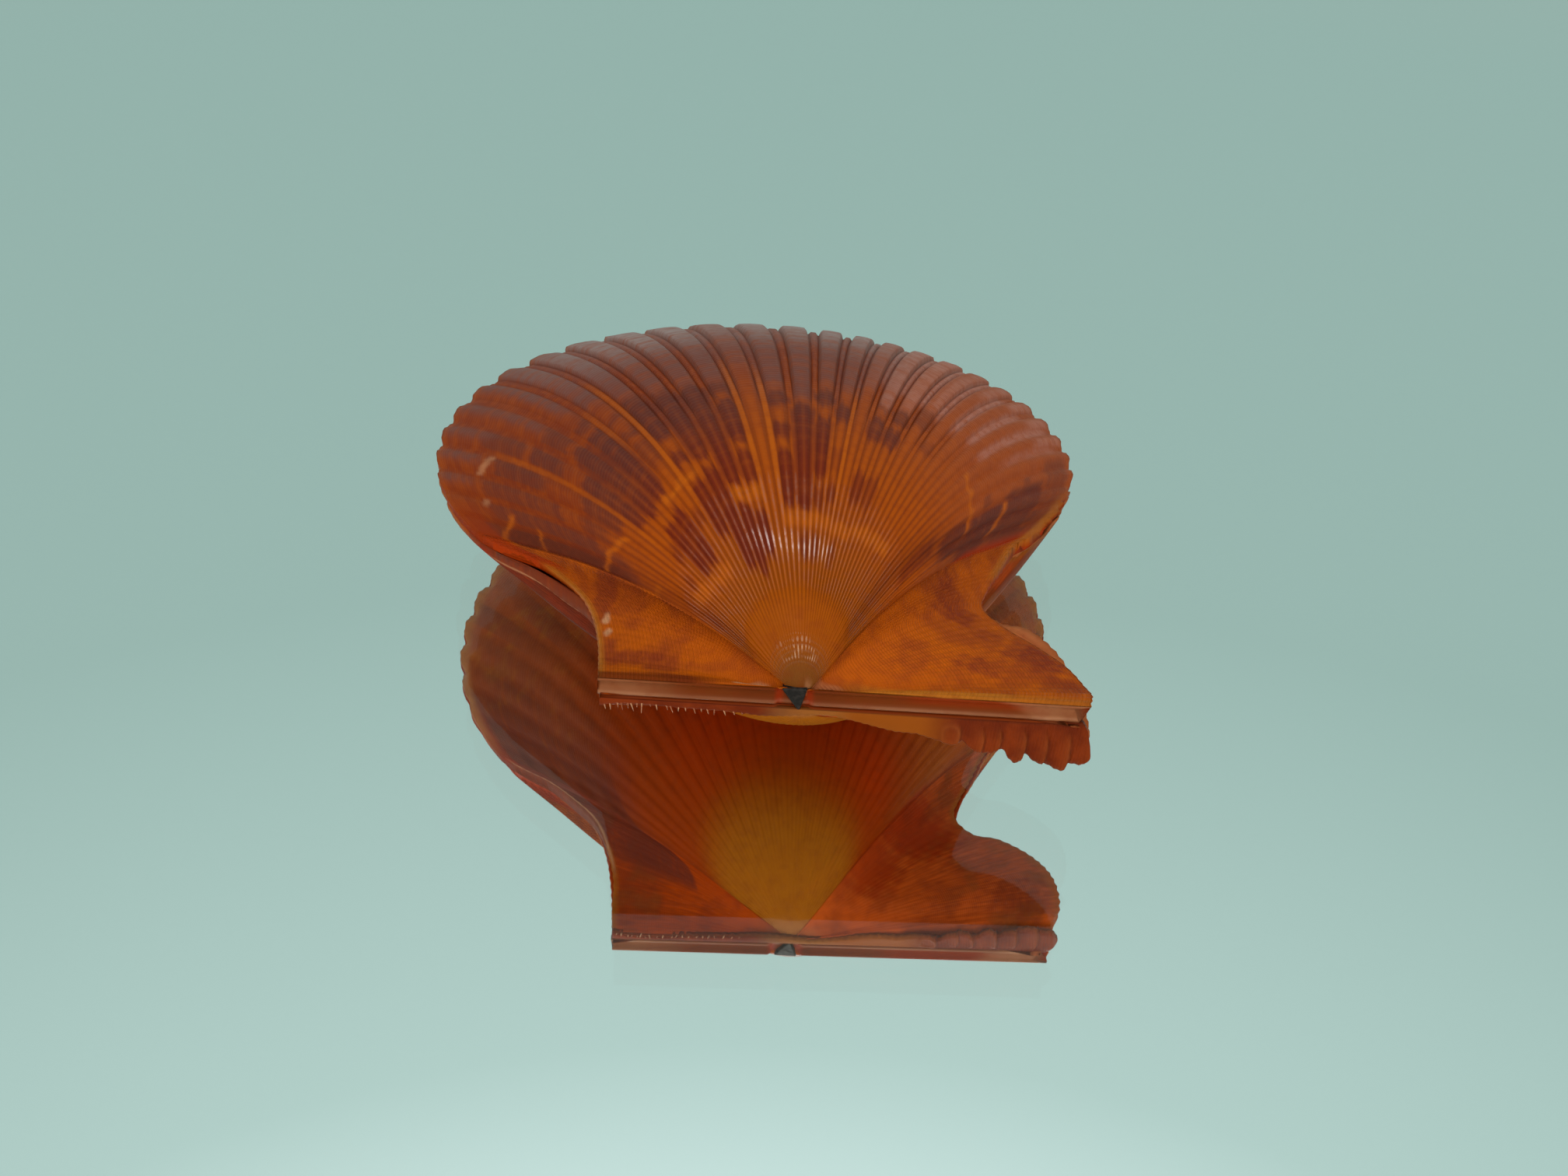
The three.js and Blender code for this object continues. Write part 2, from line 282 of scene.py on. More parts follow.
def store(mesh, facts):
    """Keeps values on a mesh's points by name, one number or three for each point."""
    for name, values in facts.items():
        values = np.asarray(values, np.float32)
        single = values.ndim == 1
        made = mesh.attributes.new(name, "FLOAT" if single else "FLOAT_VECTOR", "POINT")
        made.data.foreach_set("value" if single else "vector", values.ravel())


def face_out(mesh):
    """Turns a closed mesh's faces outward and makes them smooth."""
    form = bmesh.new()
    form.from_mesh(mesh)
    bmesh.ops.recalc_face_normals(form, faces=form.faces)
    for face in form.faces:
        face.smooth = True
    form.to_mesh(mesh)
    form.free()


def most(*masks):
    return np.maximum.reduce(np.broadcast_arrays(*masks))


def soft(x, low, high):
    """0 at low and before it, 1 at high and past it, with a smooth rise. Low may be the larger."""
    t = np.clip((np.asarray(x, float) - low) / (high - low), 0, 1)
    return t * t * (3 - 2 * t)


def bell(x, middle, wide):
    return np.exp(-((x - middle) / wide) ** 2)


def ease(x, low, high):
    return low + (high - low) * x


def band_of(s, high, low, blur=0.008):
    return soft(s, low - blur, low + blur) * soft(s, high + blur, high - blur)


def round_point(angle):
    """Round part of the disc's margin, by the angle from the far margin."""
    return np.stack([DISC_X + DISC_A * np.sin(angle), DISC_Y + DISC_B * np.cos(angle)], -1)


def ear_line(points):
    """A centripetal curve through an ear's margin points, as places against the share of its length."""
    p = np.array(points, float)
    p = np.vstack([2 * p[0] - p[1], p, 2 * p[-1] - p[-2]])
    knot = np.linalg.norm(np.diff(p, axis=0), axis=1) ** 0.5
    t = np.linspace(0, 1, 40)[:, None]
    runs = []
    for k in range(1, len(p) - 2):
        back, here, ahead = knot[k - 1:k + 2]
        leave = (p[k] - p[k - 1]) / back - (p[k + 1] - p[k - 1]) / (back + here) + (p[k + 1] - p[k]) / here
        leave = leave * here
        reach = ((p[k + 1] - p[k]) / here - (p[k + 2] - p[k]) / (here + ahead)
                 + (p[k + 2] - p[k + 1]) / ahead) * here
        gap = p[k + 1] - p[k]
        turn = (3 * gap - 2 * leave - reach) * t ** 2 + (leave + reach - 2 * gap) * t ** 3
        runs.append(p[k] + leave * t + turn)
    line = np.concatenate(runs)
    length = np.r_[0, np.cumsum(np.linalg.norm(np.diff(line, axis=0), axis=1))]
    return line, length / length[-1]


def margin_of(rear, front):
    """The margin by q: 0 to 1 along the rear ear, 1 to 2 round the disc, 2 to 3 along the front ear."""
    rear_line, rear_share = ear_line([*rear, round_point(-math.radians(ROUND_REAR))])
    front_line, front_share = ear_line([*front, round_point(math.radians(ROUND_FRONT))])

    def margin(q):
        q = np.asarray(q, float)
        place = round_point(np.radians(ease(q - 1, -ROUND_REAR, ROUND_FRONT)))
        for k in (0, 1):
            place[..., k] = np.where(q <= 1, np.interp(q, rear_share, rear_line[:, k]), place[..., k])
            place[..., k] = np.where(q >= 2, np.interp(3 - q, front_share, front_line[:, k]), place[..., k])
        rear_out = SHOULDER_OUT * bell(q, 0.93, 0.15)
        front_in = SHOULDER_IN * bell(q, 2.06, 0.14)
        x = place[..., 0] - 0.58 * rear_out - 0.79 * front_in
        y = place[..., 1] - 0.81 * rear_out + 0.61 * front_in
        return x, y

    return margin


def rib_share(u):
    """How far round the disc's margin a rib coordinate lies, from 0 to 1."""
    swing = np.sin(2 * np.pi * (u / RIBS - RIB_SWING_START)) + math.sin(2 * math.pi * RIB_SWING_START)
    return u / RIBS - RIB_SWING * swing / (2 * np.pi) + 0.01 * bell(u, 15.2, 2.1)


def gape_at(q, coil):
    """The valves stand off a little at both shoulders."""
    rear = soft(q, 0.5, 0.8) * soft(q, 1.16, 1.02)
    front = soft(q, 1.84, 1.98) * soft(q, 2.35, 2.15)
    return coil[3] * rear + coil[4] * front


def skin(margin, coil, stage, q):
    """The smooth surface of a valve, the left valve's way up."""
    mx, my = margin(q)
    turn = coil[0] / coil[1] * (1 - stage ** coil[1])
    lift = ease(1 - soft(my, 0, 6), LIFT, coil[2])
    z = lift + stage * my * np.sin(turn) + gape_at(q, coil) * soft(stage, 0.8, 1)
    return np.stack([stage * mx, stage * my * np.cos(turn), z], -1)


def outward(margin, coil, stage, q):
    at = np.clip(q, 0.004, 2.996)
    along = skin(margin, coil, stage, at + 0.003) - skin(margin, coil, stage, at - 0.003)
    grown = skin(margin, coil, stage * 1.01, at) - skin(margin, coil, stage * 0.99, at)
    out = -np.cross(grown, along)
    return out / np.linalg.norm(out, axis=-1, keepdims=True)


def columns_of(shift):
    """Columns of a valve's surface: the place q round the margin, and the rib coordinate."""
    rear = np.arange(REAR_RIBLETS * 4)
    front = np.arange(FRONT_RIBLETS * 4 + 1)
    disc = np.array([rib + step + shift for rib in range(-1, RIBS + 1) for step in RIB_COLUMNS])
    disc = disc[(disc >= 0) & (disc < RIBS - 0.01)]
    q = [rear / (REAR_RIBLETS * 4), 1 + rib_share(disc), 2 + front / (FRONT_RIBLETS * 4)]
    return np.concatenate(q), np.concatenate([rear / 4 - REAR_RIBLETS, disc, RIBS + front / 4])


def zip_lines(a, b):
    """Triangles between two rows of vertices whose counts differ, by their share of the way."""
    faces = []
    i = j = 0
    while i + 1 < len(a) or j + 1 < len(b):
        if j + 1 == len(b) or (i + 1 < len(a) and (i + 1) / (len(a) - 1) <= (j + 1) / (len(b) - 1)):
            faces.append((a[i], a[i + 1], b[j]))
            i += 1
        else:
            faces.append((a[i], b[j + 1], b[j]))
            j += 1
    return faces


def quads(grid):
    """Faces of a grid of vertex numbers."""
    a, b, c, d = grid[:-1, :-1], grid[1:, :-1], grid[1:, 1:], grid[:-1, 1:]
    return np.stack([a, b, c, d], -1).reshape(-1, 4).tolist()


def grow_valve(name, rear, front, coil, right, shift, band):
    """A closed smooth valve with, on each point, its rib coordinate, stage, outward way and marks."""
    margin = margin_of(rear, front)
    sign = -1 if right else 1
    q, u = columns_of(shift)
    ends = np.array([0.968, FIRST_STAGE]) ** (1 / GROW_POWER)
    stages = np.r_[1, 0.985, np.linspace(*ends, GROW_ROWS - 2) ** GROW_POWER]
    rows, cols = len(stages), len(q)
    stage = stages[:, None] * np.ones((1, cols))
    around = np.broadcast_to(q, stage.shape)
    place = skin(margin, coil, stage, around)
    out = outward(margin, coil, stage, around)
    mx, my = margin(q)
    away = np.abs((u + 2 * shift) % 1 - 0.5)
    far = soft(u, 7, 11) * soft(u, 23, 19)
    flat_tips = 0.012 * (soft(away, 0.27, 0.36) - 0.4 * soft(away, 0.4, 0.47))
    flat_tips = flat_tips + 0.0018 * np.sin(u * 31) * np.sin(u * 17.3)
    round_tips = (0.02 if right else 0.009) * (2 * away) ** 2 + 0.0015 * np.sin(2 * np.pi * 3 * u)
    lobe = ease(far, round_tips, flat_tips) * soft(np.minimum(u, RIBS - u), 0, 3)
    teeth = (0.5 - 0.5 * np.cos(2 * np.pi * u)) * soft(np.abs(u - RIBS / 2), RIBS / 2, RIBS / 2 + 1)
    teeth = np.maximum(teeth, (0.5 - 0.5 * np.cos(2 * np.pi * 2 * u)) * band_of(u, RIBS, RIBS - 3, 0.3))
    teeth = teeth * (0.006 + 0.012 * band_of(q, 2.3, 1.88, 0.05))
    pull = lobe * soft(stage, 0.95, 1) + teeth * soft(stage, 0.98, 1)
    place[..., :2] *= (1 - pull)[..., None]
    if right:
        place[..., 2] += fold_at(q[None, :], stage, my[None, :])
    # below the hinge line's edge the surface stays behind the hinge band
    behind = 0.36 * soft(coil[2] - 0.1 - place[..., 2], 0, 0.4) * soft(place[..., 1], -0.5, -0.2)
    place[..., 1] = np.maximum(place[..., 1], behind)
    points = [place.reshape(-1, 3)]
    kept_out = [out.reshape(-1, 3)]
    kept = [np.stack([np.broadcast_to(u, stage.shape), stage, around], -1).reshape(-1, 3)]
    count = rows * cols
    outer = np.arange(count).reshape(rows, cols)
    faces = quads(outer)

    def add(spots, facts):
        nonlocal count
        spots = np.asarray(spots, float).reshape(-1, 3)
        points.append(spots)
        kept_out.append(np.zeros_like(spots))
        kept.append(np.broadcast_to(np.asarray(facts, float), spots.shape).reshape(-1, 3))
        numbers = np.arange(count, count + len(spots))
        count += len(spots)
        return numbers

    # edge, rim and inner surface, down to the flat plate inside the hinge
    ribbed = soft(np.minimum(u, RIBS - u), 0, 2.4)
    plane = 0.02 + 0.28 * ribbed * sign * np.cos(2 * np.pi * (u - 0.5))
    tip_open = soft(mx, 28, 29.6)
    if right:
        plane = np.maximum(plane, np.where(q > 2, place[0, :, 2] - 0.9, -1))
    else:
        plane = np.maximum(plane, tip_open * (place[0, :, 2] - 0.45))
    mark = np.stack([u, np.ones_like(u), np.full_like(u, -1)], -1)
    inward = 0.996 - pull[0]
    edge = add(np.stack([mx * inward, my * inward, plane], -1), mark)
    rim = add(np.stack([mx * 0.96, my * 0.96, plane], -1), mark)
    inner = []
    for s in INNER_STAGES:
        wall = ease(1 - soft(s, 0.1, 0.6), WALL_FAR, WALL_BEAK)
        spot = skin(margin, coil, s + 0 * q, q) - wall * outward(margin, coil, s + 0 * q, q)
        low = PLATE + 0 * q
        if right:
            low = np.maximum(low, np.where(q > 2, fold_at(q, s, my) + spot[:, 2], 0))
        spot[:, 2] = np.maximum(spot[:, 2], low)
        spot[:, 1] = np.maximum(spot[:, 1], 0.6)
        inner.append(add(spot, (0, s, -2)))
    inner = np.array(inner)
    faces += quads(np.array([outer[0], edge, rim, *inner])[::-1])

    # hinge band, from the rear ear's corner past the beak to the front ear's
    tip_place = [[0, 0, 0.5 * coil[2] + 0.39]]
    tip = add(tip_place, (15, 0, -1))[0]
    top = np.r_[outer[:, 0], tip, outer[::-1, -1]]
    faces += [(outer[-1, i], tip, outer[-1, i + 1]) for i in range(cols - 1)]
    top_place = np.concatenate([place[:, 0], tip_place, place[::-1, -1]])
    strips = [top]
    for n, (share, forward) in enumerate(band):
        strip = top_place.copy()
        beside_pad = soft(np.abs(strip[:, 0] + 0.9), 1.45, 2.1)
        strip[:, 1] = -ease(beside_pad, -0.2, forward)
        strip[:, 2] = ease(share, top_place[:, 2], DIVISION if right else -DIVISION)
        closed = np.minimum(np.minimum(strip[:, 1], -0.12), top_place[:, 1])
        strip[:, 1] = ease(soft(strip[:, 0], 22, 25), strip[:, 1], closed)
        if not right:
            past = np.clip(strip[:, 0] - 25, 0, None)
            strip[:, 0] -= past * (1 - (3.2 + 1.2 * share) / 5.4) * soft(share, 0, 0.25)
        strips.append(add(strip, (0, 0.5, -3 - (n + 1) / len(band))))
    faces += quads(np.array(strips))
    plate = add([(0, 3, PLATE)], (0, 0.1, -2))[0]
    inside = np.r_[edge[0], rim[0], inner[:, 0], plate, inner[::-1, -1], rim[-1], edge[-1]]
    faces += zip_lines(strips[-1], inside)
    faces += [(inner[-1, i], plate, inner[-1, i + 1]) for i in range(cols - 1)]
    faces += [[line[end] for line in (*strips, edge)] for end in (0, -1)]

    points = np.concatenate(points)
    out = np.concatenate(kept_out)
    facts = np.concatenate(kept)
    points[:, 2] *= sign
    out[:, 2] *= sign
    mesh = bpy.data.meshes.new(name)
    mesh.from_pydata(lay_down(points), [], [tuple(int(n) for n in f) for f in faces])
    store(mesh, {"out": out @ TILT.T, "rib": facts[:, 0], "stage": facts[:, 1]})
    face_out(mesh)
    return add_object(name, mesh), points, facts


def put_marks(valve, swell, marks):
    """Stores how far the valve's points swell and the strength of each marking on them."""
    store(valve.data, {"swell": swell, **{name: np.clip(values, 0, 1) for name, values in marks.items()}})


def geometry_tree(name, sizes):
    """A new geometry tree with named inputs: a wire to start from, its inputs, and their identifiers."""
    tree = bpy.data.node_groups.new(name, "GeometryNodeTree")
    for way in ("OUTPUT", "INPUT"):
        tree.interface.new_socket("Geometry", in_out=way, socket_type="NodeSocketGeometry")
    ids = {}
    for size in sizes:
        made = tree.interface.new_socket(size, in_out="INPUT", socket_type="NodeSocketFloat")
        ids[size] = made.identifier
    group = tree.nodes.new("NodeGroupInput")
    given = {size: Wire(tree, group.outputs[size]) for size in ("Geometry", *sizes)}
    return Wire(tree), given, ids


def finish_piece(piece, start, geometry, sizes, ids, material):
    """Runs a piece's tree with its sizes and turns the result into a plain mesh with one material."""
    real = start.node("GeometryNodeRealizeInstances", (), {0: geometry})
    painted = start.node("GeometryNodeSetMaterial", (), {"Geometry": real, "Material": material})
    start.node("NodeGroupOutput", (), {0: painted})
    modifier = piece.modifiers.new("tree", "NODES")
    modifier.node_group = start.tree
    for size, value in sizes.items():
        modifier[ids[size]] = value
    graph = bpy.context.evaluated_depsgraph_get()
    graph.update()
    plain = bpy.data.meshes.new_from_object(
        piece.evaluated_get(graph), preserve_all_data_layers=True, depsgraph=graph)
    piece.modifiers.clear()
    old = piece.data
    piece.data = plain
    plain.name = piece.name
    bpy.data.meshes.remove(old)
    plain.materials.clear()
    plain.materials.append(material)
    for face in plain.polygons:
        face.material_index = 0


def carve_ribs(valve, material, sizes):
    """Raises ribs, riblets and the ears' fine riblets on a smooth valve, with Geometry Nodes."""
    start, size, ids = geometry_tree(valve.name + "_ribs", sizes)

    rib = start.fact("rib")
    stage = start.fact("stage")
    part = rib.math("FRACT")
    away = (part - 0.5).math("ABSOLUTE")
    inner = stage.step(0.6, 0.36)
    on_disc = rib.step(0, 2.4) * rib.step(RIBS, RIBS - 2.4)
    on_ear = 1 - rib.step(-0.3, 0) * rib.step(RIBS + 0.3, RIBS)
    top = away.step(size["rib foot"], size["rib top"])
    near = away * -1 + 0.5
    thick = inner * 0.1 + size["riblet half"]
    fine = (thick - near).step(-0.02, 0.05) * (inner * (1 - size["riblet height"]) + size["riblet height"])
    profile = top.math("MAXIMUM", fine)
    crown = 1 - (away * 3.2) ** 2
    profile = profile + top * crown * 0.1
    waves = (part * (2 * math.pi)).math("COSINE")
    soft_rib = waves * -0.26 + 0.5
    flank = 1 - rib.step(5, 10) * rib.step(25, 19) * size["crisp"]
    profile = profile * (1 - flank) + soft_rib * flank
    high = size["height"] * (stage.math("MAXIMUM", 0.02) ** 0.8) * (1 - stage.step(0.93, 1) * 0.35)
    disc = (profile - 0.5) * high * on_disc
    ear = waves * -0.5 * size["ear riblets"] * on_ear * stage.step(0.05, 0.5) * start.fact("ear")
    total = (disc + ear + start.fact("swell")) * MM
    offset = start.node("ShaderNodeVectorMath", {"operation": "SCALE"}, {
        0: start.fact("out", "FLOAT_VECTOR"), "Scale": total})
    carved = start.node("GeometryNodeSetPosition", (), {"Geometry": size["Geometry"], "Offset": offset})
    finish_piece(valve, start, carved, sizes, ids, material)


def fold_at(q, stage, my):
    """The right valve's front ear hangs below the hinge and comes up again towards the notch."""
    rear = 0.4 * stage * soft(my, 6, 0) + 1.5 * stage ** 2 * bell(my, 17.5, 5)
    front = 4.5 * stage * soft(my, -0.8, 1.2) * soft(my, 19, 4)
    return np.where(q < 1, rear, np.where(q < 2, 0, front))


left, left_points, left_facts = grow_valve(
    "upper_valve", REAR_LEFT, FRONT_LEFT, COIL_LEFT, False, 0,
    [(0.03, 0.25), (0.12, 0.3), (0.2, 0.1), (0.3, -0.15), (0.45, -0.22), (0.6, -0.12), (0.68, 0.06),
     (0.76, 0.2), (0.84, 0.22), (0.93, 0.12), (1, -0.3)])

# each rib's dark wine blocks: growth stages from the outer end to the inner one, and how strong
WINE = {
    0: [(.92, .87, .7), (.855, .55, 1), (.53, .47, .8)],
    1: [(.857, .8, .6), (.79, .53, .7), (.25, .2, .4)],
    2: [(.855, .62, .55), (.56, .49, .5)],
    3: [(.81, .66, .7), (.555, .445, .7), (.285, .255, .5)],
    4: [(.857, .73, .6), (.71, .615, .8), (.555, .39, .9), (.32, .285, .6)],
    5: [(.7, .62, .7), (.6, .37, .95), (.34, .225, 1)],
    6: [(.63, .6, .7), (.585, .375, 1), (.34, .225, 1)],
    7: [(.69, .65, .6), (.575, .56, .6), (.525, .505, .8), (.487, .42, .5), (.31, .28, .6)],
    8: [(.59, .45, 1), (.415, .385, .9), (.345, .24, 1)],
    9: [(.565, .37, 1), (.355, .175, 1)],
    10: [(.55, .3, 1), (.27, .16, 1)],
    11: [(.535, .495, .9), (.48, .375, 1), (.36, .295, .9), (.25, .18, 1)],
    13: [(.49, .45, .9), (.41, .37, .9), (.35, .25, 1)], 14: [(.46, .24, 1), (.21, .175, .8)],
    15: [(.51, .46, .9), (.43, .3, 1), (.287, .25, .7), (.21, .175, .7)],
    16: [(.48, .43, .9), (.37, .32, .4), (.3, .265, .7)], 17: [(.21, .175, .5)],
    18: [(.52, .505, .7), (.48, .415, .9), (.345, .28, .8)],
    19: [(.535, .49, .8), (.475, .42, .9), (.35, .28, .6)],
    20: [(.59, .52, .5)], 21: [(.51, .475, .4)],
    26: [(.95, .895, .4), (.8, .77, .5), (.63, .6, .5), (.4, .32, .5)],
    27: [(.91, .7, .5), (.66, .57, .8), (.55, .445, .9)],
    28: [(.9, .7, .8), (.68, .49, 1)],
    29: [(.9, .74, .8), (.7, .59, 1)],
}
# each rib's mauve outer part, greyer far out where a painted reflection is mixed in: inner end and strength
MAUVE = {
    2: (.9, .8), 3: (.86, .9), 4: (.84, .8), 5: (.7, .8), 6: (.68, 1), 7: (.64, 1), 8: (.6, 1), 9: (.57, 1),
    10: (.55, 1), 11: (.54, 1), 12: (.58, .7), 13: (.5, 1), 14: (.47, 1), 15: (.52, 1), 16: (.52, .9),
    17: (.56, .7), 18: (.52, .9), 19: (.55, .8), 20: (.6, .6), 21: (.8, .6), 22: (.87, .7), 23: (.88, .7),
    24: (.86, .6),
}
# riblets washed with mauve and riblets that stay bright orange: outer stage, inner stage and strength
WASHED = {
    12: (.86, .5, .5), 13: (.82, .48, .6), 16: (.72, .5, .7), 17: (.98, .52, .8), 18: (.92, .6, .9),
    19: (.93, .6, .9), 20: (.98, .6, 1), 21: (.96, .6, .9), 22: (.9, .6, .9), 23: (.88, .62, .8),
    24: (.95, .62, .7), 25: (.95, .7, .4),
}
GOLD = {
    4: (.8, .33, .45), 7: (.64, .5, .4), 8: (.7, .3, .6), 12: (.6, .22, .6), 13: (.55, .24, .7),
    17: (.52, .22, .6), 16: (.42, .28, .3),
}
# dark patches low on the flanks, where the disc turns to the ears: ribs, stages and strength
FLANK = [
    (-.6, .6, .88, .8, .9), (-.6, .8, .78, .5, 1), (.3, 1.6, .56, .45, .6),
    (26.6, 29.4, .86, .7, .9), (27, 29.4, .69, .56, 1), (26.8, 28.6, .55, .46, .9),
    (26.2, 27.6, .42, .3, .7), (25.6, 29.6, .97, .87, .5),
]
# bright growth lines: (rib, stage) at both ends, half width and strength
LINES = [
    ((-.1, .92), (1.5, .79), .008, .9), ((-.8, .8), (1.2, .73), .005, .8),
    ((-.5, .6), (3.2, .43), .007, .9), ((-.5, .44), (1.3, .38), .007, .7),
    ((24.2, .55), (27.8, .55), .006, .9), ((27.1, .7), (28.9, .69), .008, .9),
    ((1.9, .265), (5, .215), .014, 1), ((5, .215), (7.6, .2), .012, .8),
    ((13, .232), (19, .232), .011, 1), ((19, .24), (23.5, .27), .012, 1),
    ((10.1, .288), (12, .276), .012, 1), ((6.3, .36), (8.9, .36), .006, 1),
]
# patches on the ears in own millimetres: middle, half width, half height and strength
EAR_PURPLE = [
    (-18.5, 4.8, 4.2, 1.5, .8), (-15, 3.2, 3, .9, .6), (-22.5, 14.8, 1.6, 3.4, .8),
    (-21.5, 6.5, 1, 2.5, .6), (16.4, 16.4, 2.6, 3.4, 1), (14, 19.5, 1.2, 2.6, .9),
    (20.5, 6.1, 4.6, 1.7, .8), (25.8, 9.4, 4.8, 3, 1), (28, 4.5, 3.4, 2, .8),
    (-9.5, 3, 3.5, .6, .35), (20.5, 11.5, 2, 2.6, .6), (-19, 13, 4.5, 1.6, .5),
]
EAR_PALE = [
    (-22, 11.8, .45, .8, 1.3), (-21.6, 9.5, .4, .6, 1.3), (-5.6, .7, 1.5, .42, 1.3),
    (-4.3, .65, .8, .34, 1), (2.5, .6, 3, .4, .4),
]


def on_rib(u, middle, half=0.34, blur=0.05):
    return 1 - soft(np.abs(u - middle), half - blur, half + blur)


def blob(x, y, spots):
    """Strength of soft round patches at own millimetres: middle x and y, half width, half height."""
    wobble = 0.25 * np.sin(x * 2.1 + y * 1.3) * np.sin(y * 2.7 - x * 0.9)
    mask = 0 * x
    for middle_x, middle_y, wide, high, strength in spots:
        far = np.hypot((x - middle_x) / wide, (y - middle_y) / high) + wobble
        mask = np.maximum(mask, strength * soft(far, 1.35, 0.45))
    return mask


def streak(u, s, start, end, half):
    """A thin line on the valve from one (rib, stage) to another."""
    share = np.clip((u - start[0]) / (end[0] - start[0]), 0, 1)
    middle = ease(share, start[1], end[1]) + 0.003 * np.sin(u * 5)
    inside = soft(u, start[0] - 0.1, start[0] + 0.1) * soft(u, end[0] + 0.1, end[0] - 0.1)
    return inside * soft(np.abs(s - middle), half * 1.5, half * 0.5)


u, s, q = left_facts.T
x, y, z = left_points.T
skin_side = q >= 0
on_disc = skin_side & (u >= 0) & (u <= RIBS)
on_ear = skin_side & ((u < 0) | (u > RIBS))
ragged = s + 0.004 * np.sin(u * 9.1 + s * 40) + 0.003 * np.sin(u * 23)
wine = 0 * u
# a light mauve wash on the far ribs' outer part: mauve shell together with a painted grazing reflection
mauve = 0.35 * soft(s, 0.66, 0.75) * band_of(u, 17, 7.5, 1)
gold = 0 * u
for rib, blocks in WINE.items():
    for high, low, strength in blocks:
        wide = 0.8 * on_rib(u, rib + 0.5, 0.56) * band_of(ragged, high - 0.01, low + 0.01)
        wide = wide * (1 - 0.7 * soft(s, 0.5, 0.7))
        wine = most(wine, strength * on_rib(u, rib + 0.5) * band_of(ragged, high, low), strength * wide)
for rib, (low, strength) in MAUVE.items():
    stripe = on_rib(u, rib + 0.5, 0.33, 0.08) if 6 < rib < 20 else on_rib(u, rib + 0.6, 0.22, 0.1)
    mauve = most(mauve, strength * stripe * soft(ragged, low - 0.03, low + 0.03))
for rib, (high, low, strength) in WASHED.items():
    mauve = most(mauve, strength * on_rib(u, rib, 0.22, 0.12) * band_of(ragged, high, low, 0.03))
for rib, (high, low, strength) in GOLD.items():
    gold = most(gold, strength * on_rib(u, rib, 0.12, 0.05) * band_of(s, high, low, 0.06))
for low_u, high_u, high, low, strength in FLANK:
    wine = most(wine, strength * band_of(u, high_u, low_u, 0.25) * band_of(ragged, high, low, 0.015))
for start, end, half, strength in LINES:
    gold = most(gold, strength * streak(u, s, start, end, half))
wine = wine * (1 - np.clip(gold, 0, 1))
chips = most(streak(u, s, (3, 0.865), (3.9, 0.82), 0.009), streak(u, s, (1.65, 0.87), (2, 0.86), 0.009))
# valleys where the disc's flanks meet the ears: the surface dips there and a painted shade darkens them
valley = (np.exp(-((q - ease(soft(s, 0.1, 0.5), 1.07, 1)) / 0.045) ** 2)
          + np.exp(-((q - ease(soft(s, 0.25, 0.65), 1.86, 1.965)) / 0.04) ** 2)) * soft(s, 0.02, 0.2)
swell = skin_side * (-0.1 - 0.4 * valley * (0.4 + 0.6 * s))
purple = on_ear * blob(x, y, EAR_PURPLE)
pale = skin_side * most(
    (on_ear | (x < -1.5)) * blob(x, y, EAR_PALE),
    on_disc * 0.5 * chips,
    on_disc * 0.45 * band_of(u, 25, 17, 2) * soft(s, 0.034, 0.022),
    0.4 * band_of(q, 0.55, 0.1, 0.08) * soft(s, 0.985, 1))
yellow = skin_side * most(
    on_ear * soft(y, 1.7, 0.9) * soft(x, 3, 8) * (1 - 0.4 * soft(x, 20, 24)),
    0.9 * band_of(q, 0.7, 0, 0.05) * soft(s, 0.955, 0.985),
    0.7 * band_of(q, 2.25, 1.93, 0.03) * soft(s, 0.93, 0.97))
dim = skin_side * most(
    on_ear * soft(y, 1.8, 1) * soft(x, -7, -12) * soft(s, 0.2, 0.4),
    0.75 * band_of(u, 0.9, -0.8, 0.3) * band_of(s, 0.88, 0.5, 0.03) * (1 - gold))
red = skin_side * (0.9 * band_of(q, 2.035, 1.985, 0.012) * band_of(s, 0.93, 0.62, 0.04)
                   + 0.8 * band_of(q, 1.02, 0.7, 0.05) * soft(s, 0.89, 0.93))
# hinge band: its share of the way down from the dorsal edge, and its colours along the hinge
on_band = q <= -3
down = on_band * (-3 - q)
lip = bell(down, 0.78, 0.1)
rear_end = 1 - soft(x, -18, -11)
front_end = soft(x, 19.5 + down * 5, 22.5 + down * 5)
# pale on the band: a painted highlight along the convex lip, and pale shell at the rear and front ends
band_pale_and_sheen = (lip * (0.22 + 0.16 * soft(x, 0, 12)) + 0.3 * rear_end * band_of(down, 0.9, 0.06, 0.06)
             + 0.42 * front_end * soft(down, 0.99, 0.93))
band_red = (0.5 * band_of(x, 24, 11, 2.5) * band_of(down, 0.5, 0.05, 0.1)
            + 0.8 * (1 - soft(np.abs(np.abs(x + 0.85) - 1.6), 0.1, 0.7)))
# painted shade under the overhanging rim and in the seam between the valves, and darker beside the pad
band_shade = (0.8 * soft(down, 0.88, 0.95) * (1 - 0.6 * front_end)
            + 0.35 * soft(down, 0.3, 0.02) * (1 - rear_end) + 0.35 * band_of(x, 4, -7, 2) * (1 - lip))
put_marks(left, swell, {
    "wine": on_disc * wine, "mauve": on_disc * mauve, "gold": on_disc * gold, "valley": skin_side * valley,
    "purple": purple, "pale": np.where(on_band, band_pale_and_sheen, pale), "yellow": yellow,
    "red": np.where(q == -1, 0.85, np.where(on_band, band_red, red)), "dim": np.where(on_band, band_shade, dim),
    "ear": on_ear, "band": on_band, "gloss": on_band * lip * 0.7})

